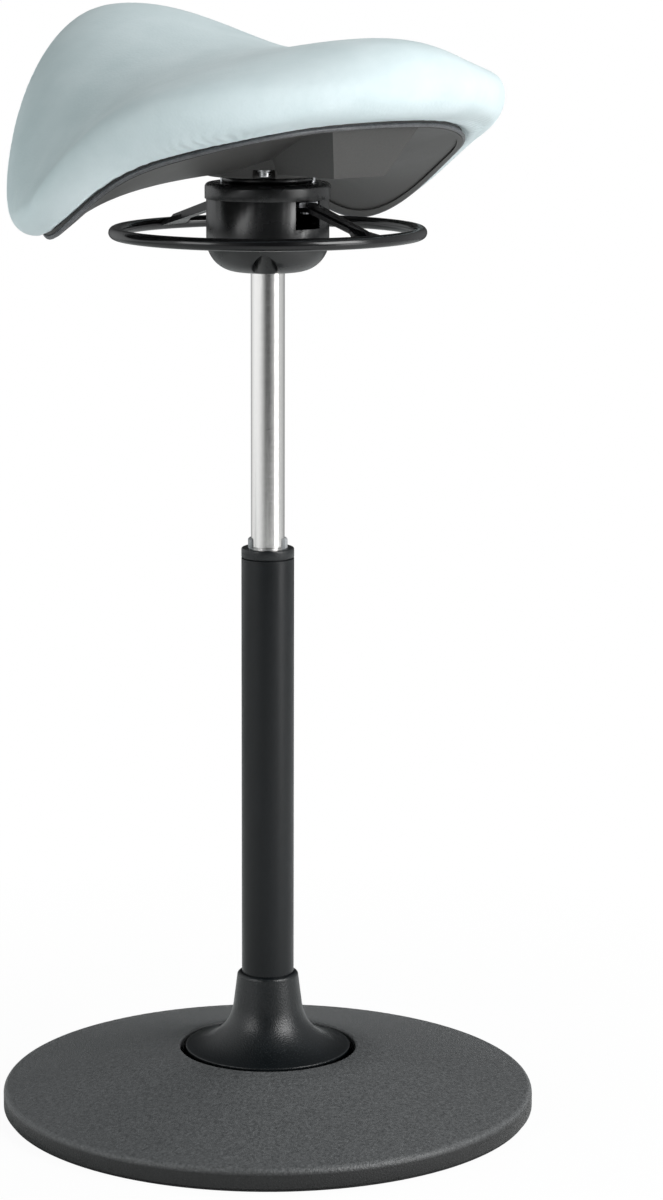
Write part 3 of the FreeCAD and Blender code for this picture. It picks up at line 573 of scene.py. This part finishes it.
cushion = welded_copy("seat_foam", "seat_cushion")
remesh = cushion.modifiers.new("even_quads", "REMESH")
remesh.mode = "VOXEL"
remesh.voxel_size = VOXEL * MM
soften = cushion.modifiers.new("soften", "SMOOTH")
soften.factor = 0.5
soften.iterations = SOFTEN_PASSES
make_plain(cushion)
pinned = []
for vertex in cushion.data.vertices:
    _, _, _, gap = shell_surface.find_nearest(vertex.co, SEARCH_REACH * MM)
    if gap is not None and gap < HELD_WITHIN * MM:
        pinned.append(vertex.index)
held = cushion.vertex_groups.new(name="held")
held.add(pinned, 1.0, "REPLACE")
outward = np.array([vertex.normal for vertex in cushion.data.vertices], dtype=np.float32)
outward[pinned] = 0
rest_points = positions(cushion.data) + outward * COVER * MM
move_points(cushion.data, rest_points)
print("cushion", len(cushion.data.polygons), "quads,", len(pinned), "points held")

# %% [markdown]
# ## A short cloth run
# A little air pressure lets the skin swell and settle as a pulled cover does. Gravity is off because
# the foam carries the cover. Twenty frames are enough for the pressure to round the edges, and the
# result is frozen into the mesh. The movement is capped so that the cushion keeps the outline of its
# mould.

# %% Cover settles over the foam
SWELL_CAP = 1.5
CLOTH_FRAMES = 20
CLOTH_SETTINGS = {
    "quality": 6, "mass": 0.35, "tension_stiffness": 25, "compression_stiffness": 25,
    "shear_stiffness": 8, "bending_stiffness": 4, "use_pressure": True,
    "uniform_pressure_force": 4.0, "vertex_group_mass": "held",
}

cloth = cushion.modifiers.new("stretch_cover", "CLOTH")
for name, value in CLOTH_SETTINGS.items():
    setattr(cloth.settings, name, value)
cloth.settings.effector_weights.gravity = 0.0
cloth.collision_settings.use_collision = False
for step in range(1, CLOTH_FRAMES + 1):
    bpy.context.scene.frame_set(step)
make_plain(cushion)
bpy.context.scene.frame_set(1)
moved = positions(cushion.data) - rest_points
length = np.linalg.norm(moved, axis=1, keepdims=True)
share = np.minimum(1.0, SWELL_CAP * MM / np.maximum(length, 1e-9))
move_points(cushion.data, rest_points + moved * share)
divide = cushion.modifiers.new("finer", "SUBSURF")
divide.levels = 1
divide.render_levels = 1
make_plain(cushion)
print("swell up to", round(float(length.max()) / MM, 2), "mm, now", len(cushion.data.polygons), "quads")

# %% [markdown]
# ## Gathers along the hem
# A stretch cover has too much cloth where its edge turns a corner, so it is gathered there into
# short folds that die out within a few centimetres. Each fold is a ripple in the distance along
# the hem, faded with the distance from it and kept to the corners. The cover also dips just above
# the rim, where the staples pull it in. The finished cushion then passes through the same field as
# the shell.

# %% Hem gathers
FOLD_LENGTH = 8.0
FOLD_HEIGHT = 1.9
FOLD_REACH = 36.0
FOLD_START, FOLD_RISE = 6.0, 9.0
FOLD_FADE = 1.5
WANDER, WANDER_ALONG, WANDER_AWAY, WANDER_SEED = 5.0, 22.0, 16.0, 9.1
TUCK_DEPTH = 1.2
TUCK_REACH = 8.0
# Degrees round the hem from the high end, spread in degrees, strength
GATHERS = ((130, 12, 1.0), (230, 12, 1.0), (38, 9, 0.5), (322, 9, 0.5))

hem_tree = kdtree.KDTree(len(hem))
for number, spot in enumerate(hem):
    hem_tree.insert(spot, number)
hem_tree.balance()
along_hem = np.cumsum([0.0] + [(b - a).length / MM for a, b in zip(hem, hem[1:])])


def fold(turn, distance, reach):
    """Height in millimetres of the gathers at a place on the hem and a distance away from it."""
    cluster = 0.0
    for centre, spread, strength in GATHERS:
        cluster += strength * math.exp(-((turn - centre) / spread) ** 2)
    wander = WANDER * noise.noise((distance / WANDER_ALONG, reach / WANDER_AWAY, WANDER_SEED))
    ripple = math.sin(2 * math.pi * (distance + wander) / FOLD_LENGTH)
    rise = min(max((reach - FOLD_START) / FOLD_RISE, 0.0), 1.0)
    fade = max(0.0, 1.0 - reach / FOLD_REACH)
    return FOLD_HEIGHT * cluster * ripple * rise * fade ** FOLD_FADE


shifts = np.zeros((len(cushion.data.vertices), 3), dtype=np.float32)
for vertex in cushion.data.vertices:
    _, number, gap = hem_tree.find(vertex.co)
    reach = gap / MM
    if reach < FOLD_REACH:
        lift = fold(360.0 * number / HEM_STEPS, float(along_hem[number]), reach)
        lift -= TUCK_DEPTH * max(0.0, 1.0 - reach / TUCK_REACH) ** 2
        shifts[vertex.index] = np.array(vertex.normal) * lift * MM
move_points(cushion.data, flaps_lowered(positions(cushion.data) + shifts))
shade_smooth(cushion.data)
print("gathers moved", int(np.count_nonzero(np.abs(shifts).sum(axis=1))), "points")

# %% [markdown]
# ## Upholstery
# The cover is a pale, slightly blue leathercloth. Its grain is a net of cells under a millimetre
# wide, drawn at two millimetres so that it survives in the picture. The colour barely varies, a
# soft sheen lifts the grazing angles and the gloss is low.

# %% Upholstery finish
CLOTH_MOTTLE, CLOTH_CREASE, CLOTH_CELL = 45, 7, 2.0


def upholstery():
    """Pale leathercloth with a fine pressed grain."""
    material, tree, shader, place = new_finish("pale_ice_leathercloth", **{
        "Sheen Weight": 0.15, "Sheen Roughness": 0.5, "Specular IOR Level": 0.3})
    mottle = add_node(tree, "ShaderNodeTexNoise", {
        "Vector": place, "Scale": per_metre(CLOTH_MOTTLE), "Detail": 5.0})
    ramp = add_node(tree, "ShaderNodeValToRGB", {"Fac": mottle.outputs["Fac"]})
    low, high = ramp.color_ramp.elements
    low.position = 0.3
    low.color = linear("#C7D5D8")
    high.position = 0.7
    high.color = linear("#D3DFE2")
    cells = add_node(tree, "ShaderNodeTexVoronoi", {
        "Vector": place, "Scale": per_metre(CLOTH_CELL)}, feature="SMOOTH_F1")
    creases = add_node(tree, "ShaderNodeTexNoise", {
        "Vector": place, "Scale": per_metre(CLOTH_CREASE), "Detail": 6.0})
    grain = add_node(tree, "ShaderNodeBump", {
        "Height": cells.outputs["Distance"], "Distance": 0.16 * MM, "Strength": 0.7})
    bump = add_node(tree, "ShaderNodeBump", {
        "Height": creases.outputs["Fac"], "Distance": 0.25 * MM, "Strength": 0.4,
        "Normal": grain.outputs["Normal"]})
    gloss = add_node(tree, "ShaderNodeMapRange", {
        "Value": creases.outputs["Fac"], "From Min": 0.3, "From Max": 0.7,
        "To Min": 0.6, "To Max": 0.7})
    tree.links.new(ramp.outputs["Color"], shader.inputs["Base Color"])
    tree.links.new(bump.outputs["Normal"], shader.inputs["Normal"])
    tree.links.new(gloss.outputs["Result"], shader.inputs["Roughness"])
    return material


dress(cushion, upholstery())
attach(cushion, "seat")
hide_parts("seat_foam", "seat_cover")
print("cushion covered")

# %% [markdown]
# ## The rim bead
# The shell ends in a rounded bead. Its colour is painted lighter than the shell as a painted highlight
# where the rim catches the light. A bead that follows a path is what Geometry Nodes are good at: the
# hem becomes a curve, and a small circle is swept along it. The curve is first pulled in wherever it
# stands off the shell, so that the bead sits half sunk in the rim all the way round.

# %% Path of the bead
BEAD_SETBACK = 3
BEAD_DROP = 4.4
BEAD_STAND_OFF = 0.7
SMOOTH_PASSES = 6


def laid_on(surface, line, gap):
    """A line of points pulled in until each lies within a gap of a surface."""
    laid = []
    for spot in line:
        nearest, _, _, away = surface.find_nearest(spot)
        laid.append(nearest + (spot - nearest) * min(1.0, gap / max(away, 1e-9)))
    return laid


def smoothed(line):
    """A closed line with each point drawn towards its two neighbours."""
    before = line[-1:] + line[:-1]
    after = line[1:] + line[:1]
    return [(a + b * 2 + c) / 4 for a, b, c in zip(before, line, after)]


rim_surface = surface_of(shell.data)
lowered_hem = flaps_lowered(np.array(hem_line(BEAD_SETBACK, BEAD_DROP)))
bead_line = laid_on(rim_surface, [Vector(spot) for spot in lowered_hem], BEAD_STAND_OFF * MM)
for _ in range(SMOOTH_PASSES):
    bead_line = smoothed(bead_line)
bead_line = laid_on(rim_surface, bead_line, BEAD_STAND_OFF * MM)
print("bead path of", len(bead_line), "points")

# %% [markdown]
# ## Sweeping the bead
# The node tree turns the closed line of edges into a curve, sweeps a circle along it and sets the
# finish. Its one input is the radius, so another bead only needs another line and another number.

# %% Rim bead by Geometry Nodes
BEAD = 3.6
BEAD_SIDES = 14


def bead_nodes(material):
    """Node group that sweeps a round section along a closed line of edges."""
    tree = bpy.data.node_groups.new("swept_bead", "GeometryNodeTree")
    tree.interface.new_socket("Geometry", in_out="INPUT", socket_type="NodeSocketGeometry")
    radius = tree.interface.new_socket("Bead radius", in_out="INPUT", socket_type="NodeSocketFloat")
    tree.interface.new_socket("Geometry", in_out="OUTPUT", socket_type="NodeSocketGeometry")
    given = add_node(tree, "NodeGroupInput")
    curve = add_node(tree, "GeometryNodeMeshToCurve", {"Mesh": given.outputs["Geometry"]})
    ring = add_node(tree, "GeometryNodeCurvePrimitiveCircle", {
        "Resolution": BEAD_SIDES, "Radius": given.outputs["Bead radius"]})
    sweep = add_node(tree, "GeometryNodeCurveToMesh", {
        "Curve": curve.outputs["Curve"], "Profile Curve": ring.outputs["Curve"]})
    solid = add_node(tree, "GeometryNodeRealizeInstances", {"Geometry": sweep.outputs["Mesh"]})
    smooth = add_node(tree, "GeometryNodeSetShadeSmooth", {"Geometry": solid.outputs["Geometry"]})
    dressed = add_node(tree, "GeometryNodeSetMaterial", {
        "Geometry": smooth.outputs["Geometry"], "Material": material})
    add_node(tree, "NodeGroupOutput", {"Geometry": dressed.outputs["Geometry"]})
    return tree, radius.identifier


path_mesh = bpy.data.meshes.new("shell_rim_bead")
path_edges = [(index, (index + 1) % len(bead_line)) for index in range(len(bead_line))]
path_mesh.from_pydata(bead_line, path_edges, [])
rim_bead = into_scene("shell_rim_bead", path_mesh)
# The bead's paler colour is a painted highlight along the rim
bead_tree, bead_radius = bead_nodes(bead_painted_highlight_pp)
sweep = rim_bead.modifiers.new("bead", "NODES")
sweep.node_group = bead_tree
sweep[bead_radius] = BEAD / 2 * MM
make_plain(rim_bead)
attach(rim_bead, "seat")
print("rim bead", len(rim_bead.data.polygons), "faces")

# %% [markdown]
# ## A seat screw
# Plated screws with wide washers hold the hub to the shell. Each is a turned form with a hexagon
# socket. The turned part is a stack of rings of points, joined by quads, and the rings of the socket
# are pushed out to six flat sides.

# %% One screw with its washer
WASHER_RADIUS, WASHER_THICK, WASHER_EDGE = 6.7, 1.5, 0.3
WASHER_BORE = 3.2
HEAD_RADIUS, HEAD_HEIGHT, HEAD_EDGE = 5.0, 4.5, 0.6
SOCKET_RADIUS, SOCKET_DEPTH = 2.6, 2.4
SCREW_SIDES = 40


def turned(rings):
    """A closed turned mesh from rows of radius, height, and whether that ring is a hexagon."""
    work = bmesh.new()
    loops = []
    for radius, height, hexagon in rings:
        loop = []
        for side in range(SCREW_SIDES):
            turn = 2 * math.pi * side / SCREW_SIDES
            reach = radius
            if hexagon:
                reach = radius / math.cos(turn % (math.pi / 3) - math.pi / 6)
            spot = Vector((reach * math.cos(turn), reach * math.sin(turn), height))
            loop.append(work.verts.new(spot * MM))
        loops.append(loop)
    for lower, upper in zip(loops, loops[1:]):
        for side in range(SCREW_SIDES):
            after = (side + 1) % SCREW_SIDES
            work.faces.new((lower[side], lower[after], upper[after], upper[side]))
    work.faces.new(list(reversed(loops[0])))
    work.faces.new(loops[-1])
    bmesh.ops.recalc_face_normals(work, faces=work.faces)
    mesh = bpy.data.meshes.new("screw")
    work.to_mesh(mesh)
    work.free()
    return mesh


def screw_mesh():
    """Washer and socket head, pointing down, with its seat at height zero."""
    low = -WASHER_THICK - HEAD_HEIGHT
    washer = [(WASHER_BORE, 0, False), (WASHER_RADIUS - WASHER_EDGE, 0, False),
              (WASHER_RADIUS, -WASHER_EDGE, False), (WASHER_RADIUS, WASHER_EDGE - WASHER_THICK, False),
              (WASHER_RADIUS - WASHER_EDGE, -WASHER_THICK, False)]
    head = [(HEAD_RADIUS, -WASHER_THICK, False), (HEAD_RADIUS, low + HEAD_EDGE, False),
            (HEAD_RADIUS - HEAD_EDGE / 3, low + HEAD_EDGE / 3, False),
            (HEAD_RADIUS - HEAD_EDGE, low, False)]
    socket = [(SOCKET_RADIUS, low, True), (SOCKET_RADIUS, low + SOCKET_DEPTH, True)]
    return turned(washer + head + socket)


template = into_scene("screw_template", screw_mesh())
print("screw", len(template.data.polygons), "faces")

# %% [markdown]
# ## Four seat screws
# The screw is modelled once and set on the corners of a four-point circle by Geometry Nodes, the way
# a pattern feature would do it in CAD. Each copy is turned by a different amount, as a fitter leaves
# them, with a fixed seed so that every run gives the same turns.

# %% Ring of screws by Geometry Nodes
SCREW_COUNT = 4
SCREW_RING = 46.0
SCREW_RING_TURN = math.radians(45)
SPIN_SEED = 7


def circle_nodes(template, material):
    """Node group that sets a template object on the points of a circle."""
    tree = bpy.data.node_groups.new("ring_of_pieces", "GeometryNodeTree")
    tree.interface.new_socket("Geometry", in_out="INPUT", socket_type="NodeSocketGeometry")
    count = tree.interface.new_socket("Count", in_out="INPUT", socket_type="NodeSocketInt")
    radius = tree.interface.new_socket("Ring radius", in_out="INPUT", socket_type="NodeSocketFloat")
    height = tree.interface.new_socket("Height", in_out="INPUT", socket_type="NodeSocketFloat")
    tree.interface.new_socket("Geometry", in_out="OUTPUT", socket_type="NodeSocketGeometry")
    given = add_node(tree, "NodeGroupInput")
    circle = add_node(tree, "GeometryNodeMeshCircle", {
        "Vertices": given.outputs["Count"], "Radius": given.outputs["Ring radius"]})
    level = add_node(tree, "ShaderNodeCombineXYZ", {"Z": given.outputs["Height"]})
    placed = add_node(tree, "GeometryNodeTransform", {
        "Geometry": circle.outputs["Mesh"], "Translation": level.outputs["Vector"],
        "Rotation": (0.0, 0.0, SCREW_RING_TURN)})
    piece = add_node(tree, "GeometryNodeObjectInfo", {"Object": template, "As Instance": True})
    spin = add_node(tree, "FunctionNodeRandomValue", {
        "Min": (0.0, 0.0, 0.0), "Max": (0.0, 0.0, 1.0), "Seed": SPIN_SEED}, data_type="FLOAT_VECTOR")
    copies = add_node(tree, "GeometryNodeInstanceOnPoints", {
        "Points": placed.outputs["Geometry"], "Instance": piece.outputs["Geometry"],
        "Rotation": spin.outputs["Value"]})
    solid = add_node(tree, "GeometryNodeRealizeInstances", {"Geometry": copies.outputs["Instances"]})
    dressed = add_node(tree, "GeometryNodeSetMaterial", {
        "Geometry": solid.outputs["Geometry"], "Material": material})
    add_node(tree, "NodeGroupOutput", {"Geometry": dressed.outputs["Geometry"]})
    return tree, count.identifier, radius.identifier, height.identifier


ring_tree, count_input, radius_input, height_input = circle_nodes(template, screw_zinc)
seat_fixings = into_scene("seat_fixings", bpy.data.meshes.new("seat_fixings"))
pattern = seat_fixings.modifiers.new("pattern", "NODES")
pattern.node_group = ring_tree
pattern[count_input] = SCREW_COUNT
pattern[radius_input] = SCREW_RING * MM
pattern[height_input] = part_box("seat_washers")[1][2]
make_plain(seat_fixings)
bpy.data.objects.remove(template)
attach(seat_fixings, "seat")
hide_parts("seat_screws", "seat_washers")
print("seat fixings", len(seat_fixings.data.polygons), "faces")

# %% [markdown]
# ## Floor
# The stool stands on a plain white floor. The camera sees a mix of white emission and lit white
# paint there: nearly all emission, so the floor is white, but enough paint near the stool for a soft
# contact shadow. Every other ray meets only the paint.

# %% White floor
FLOOR_HALF = 2.2
SHADOW_FROM, SHADOW_TO = 0.3, 0.8
WHITE_SHARE_NEAR = 0.95


def white_floor():
    """Floor that the camera sees as white with a faint contact shadow."""
    material = bpy.data.materials.new("white_studio_floor")
    material.use_nodes = True
    tree = material.node_tree
    tree.nodes.clear()
    rays = add_node(tree, "ShaderNodeLightPath")
    matt = add_node(tree, "ShaderNodeBsdfDiffuse", {"Color": linear("#F2F2F2")})
    lit = add_node(tree, "ShaderNodeEmission", {"Color": linear("#FFFFFF"), "Strength": 1.0})
    place = add_node(tree, "ShaderNodeTexCoord").outputs["Object"]
    away = add_node(tree, "ShaderNodeVectorMath", {0: place}, operation="LENGTH")
    white = add_node(tree, "ShaderNodeMapRange", {
        "Value": away.outputs["Value"], "From Min": SHADOW_FROM, "From Max": SHADOW_TO,
        "To Min": WHITE_SHARE_NEAR, "To Max": 1.0})
    share = add_node(tree, "ShaderNodeMath", {
        0: rays.outputs["Is Camera Ray"], 1: white.outputs["Result"]}, operation="MULTIPLY")
    both = add_node(tree, "ShaderNodeMixShader", {
        0: share.outputs[0], 1: matt.outputs[0], 2: lit.outputs[0]})
    add_node(tree, "ShaderNodeOutputMaterial", {"Surface": both.outputs[0]})
    return material


floor_corners = [(-FLOOR_HALF, -FLOOR_HALF, 0), (FLOOR_HALF, -FLOOR_HALF, 0),
                 (FLOOR_HALF, FLOOR_HALF, 0), (-FLOOR_HALF, FLOOR_HALF, 0)]
floor_mesh = bpy.data.meshes.new("floor")
floor_mesh.from_pydata(floor_corners, [], [(0, 1, 2, 3)])
floor = into_scene("studio_floor", floor_mesh)
dress(floor, white_floor())
print("floor", 2 * FLOOR_HALF, "m wide")

# %% [markdown]
# ## The room
# The chrome tube shows what stands round it, so the room matters more than its light. Two pale walls
# stand left and right of the picture, and in front and behind it is dark, which gives the tube its
# bright edges and dark middle. Reflections see the walls at full strength. As light on the matt
# pieces the same walls count for less and are tinted a little, and the camera sees plain white.

# %% World
ACROSS_PICTURE = (0.749, -0.663, 0.0)
WALL_START = 0.2
LEFT_WALL = 1.05
RIGHT_WALL = 0.7
RIGHT_DARK = 0.08
BOUNCED_SHARE = 0.42

world = bpy.data.worlds.new("studio")
bpy.context.scene.world = world
world.use_nodes = True
sky = world.node_tree
sky.nodes.clear()
seen = add_node(sky, "ShaderNodeLightPath")
way = add_node(sky, "ShaderNodeTexCoord").outputs["Generated"]
sideways = add_node(sky, "ShaderNodeVectorMath", {0: way, 1: ACROSS_PICTURE}, operation="DOT_PRODUCT")
left = add_node(sky, "ShaderNodeMapRange", {
    "Value": sideways.outputs["Value"], "From Min": -WALL_START, "From Max": -1.0,
    "To Min": 0.0, "To Max": LEFT_WALL})
right = add_node(sky, "ShaderNodeMapRange", {
    "Value": sideways.outputs["Value"], "From Min": WALL_START, "From Max": 1.0,
    "To Min": RIGHT_DARK, "To Max": RIGHT_WALL})
room = add_node(sky, "ShaderNodeMath", {
    0: left.outputs["Result"], 1: right.outputs["Result"]}, operation="ADD")
dimmed = add_node(sky, "ShaderNodeMath", {0: room.outputs[0], 1: BOUNCED_SHARE}, operation="MULTIPLY")
bounced = add_node(sky, "ShaderNodeBackground", {
    "Color": linear("#EAFFFE"), "Strength": dimmed.outputs[0]})
mirrored = add_node(sky, "ShaderNodeBackground", {
    "Color": linear("#F6F8F9"), "Strength": room.outputs[0]})
studio = add_node(sky, "ShaderNodeMixShader", {
    0: seen.outputs["Is Glossy Ray"], 1: bounced.outputs[0], 2: mirrored.outputs[0]})
backdrop = add_node(sky, "ShaderNodeBackground", {"Color": linear("#FFFFFF"), "Strength": 1.0})
air = add_node(sky, "ShaderNodeMixShader", {
    0: seen.outputs["Is Camera Ray"], 1: studio.outputs[0], 2: backdrop.outputs[0]})
add_node(sky, "ShaderNodeOutputWorld", {"Surface": air.outputs[0]})
print("room set")

# %% [markdown]
# ## Lights
# A large soft box on the camera's right is the key light. A smaller one shines from above, one from
# the left side, one from just above the floor and one from beside the camera, each much weaker. Two
# little ones give the wide base its even sheen. Some are kept out of reflections, or the tubes would
# show them as extra stripes.

# %% Soft boxes
SEAT_MIDDLE = Vector((0.0, 0.0, 0.6))
BASE_MIDDLE = Vector((0.0, 0.0, 0.0))


def soft_light(name, place, size, power, aim=SEAT_MIDDLE, mirrored=True):
    """A square soft box aimed at a point. One that isn't mirrored leaves no highlight."""
    data = bpy.data.lights.new(name, "AREA")
    data.shape = "SQUARE"
    data.size = size
    data.energy = power
    made = into_scene(name, data)
    made.location = place
    made.rotation_euler = (aim - Vector(place)).to_track_quat("-Z", "Y").to_euler()
    made.visible_glossy = mirrored
    print(name, power, "W")


soft_light("key_soft_box", (0.62, -2.72, 1.9), 1.8, 87)
soft_light("top_soft_box", (1.6, 0.4, 2.7), 1.0, 24, mirrored=False)
soft_light("side_soft_box", (-2.6, 0.2, 1.4), 1.2, 15)
soft_light("low_soft_box", (0.9, -2.4, 0.35), 1.0, 9)
soft_light("front_soft_box", (-1.6, -2.6, 1.2), 1.6, 5, mirrored=False)
soft_light("left_base_light", (-0.95, 0.7, 0.5), 0.4, 1.6, BASE_MIDDLE, mirrored=False)
soft_light("right_base_light", (0.8, -0.95, 0.5), 0.4, 1.6, BASE_MIDDLE, mirrored=False)

# %% [markdown]
# ## Camera
# The picture was taken from a little above the saddle with a long lens, so the tube's sides look
# parallel while the base opens into an ellipse. Place, turn and lens follow from the ellipses of the
# base and the ring. A small shift of the lens puts the stool left of the middle.

# %% Camera at the photograph's angle
lens = bpy.data.cameras.new("photo_camera")
lens.lens = 107.9
lens.sensor_width = 36.0
lens.shift_x = 0.0531
lens.clip_end = 300.0
eye = into_scene("photo_camera", lens)
eye.location = (-1.957, -2.212, 0.990)
eye.rotation_euler = (math.radians(79.416), 0.0, math.radians(-41.5))
bpy.context.scene.camera = eye
bpy.context.scene.view_settings.view_transform = "Standard"
print("camera at", tuple(round(v, 3) for v in eye.location))
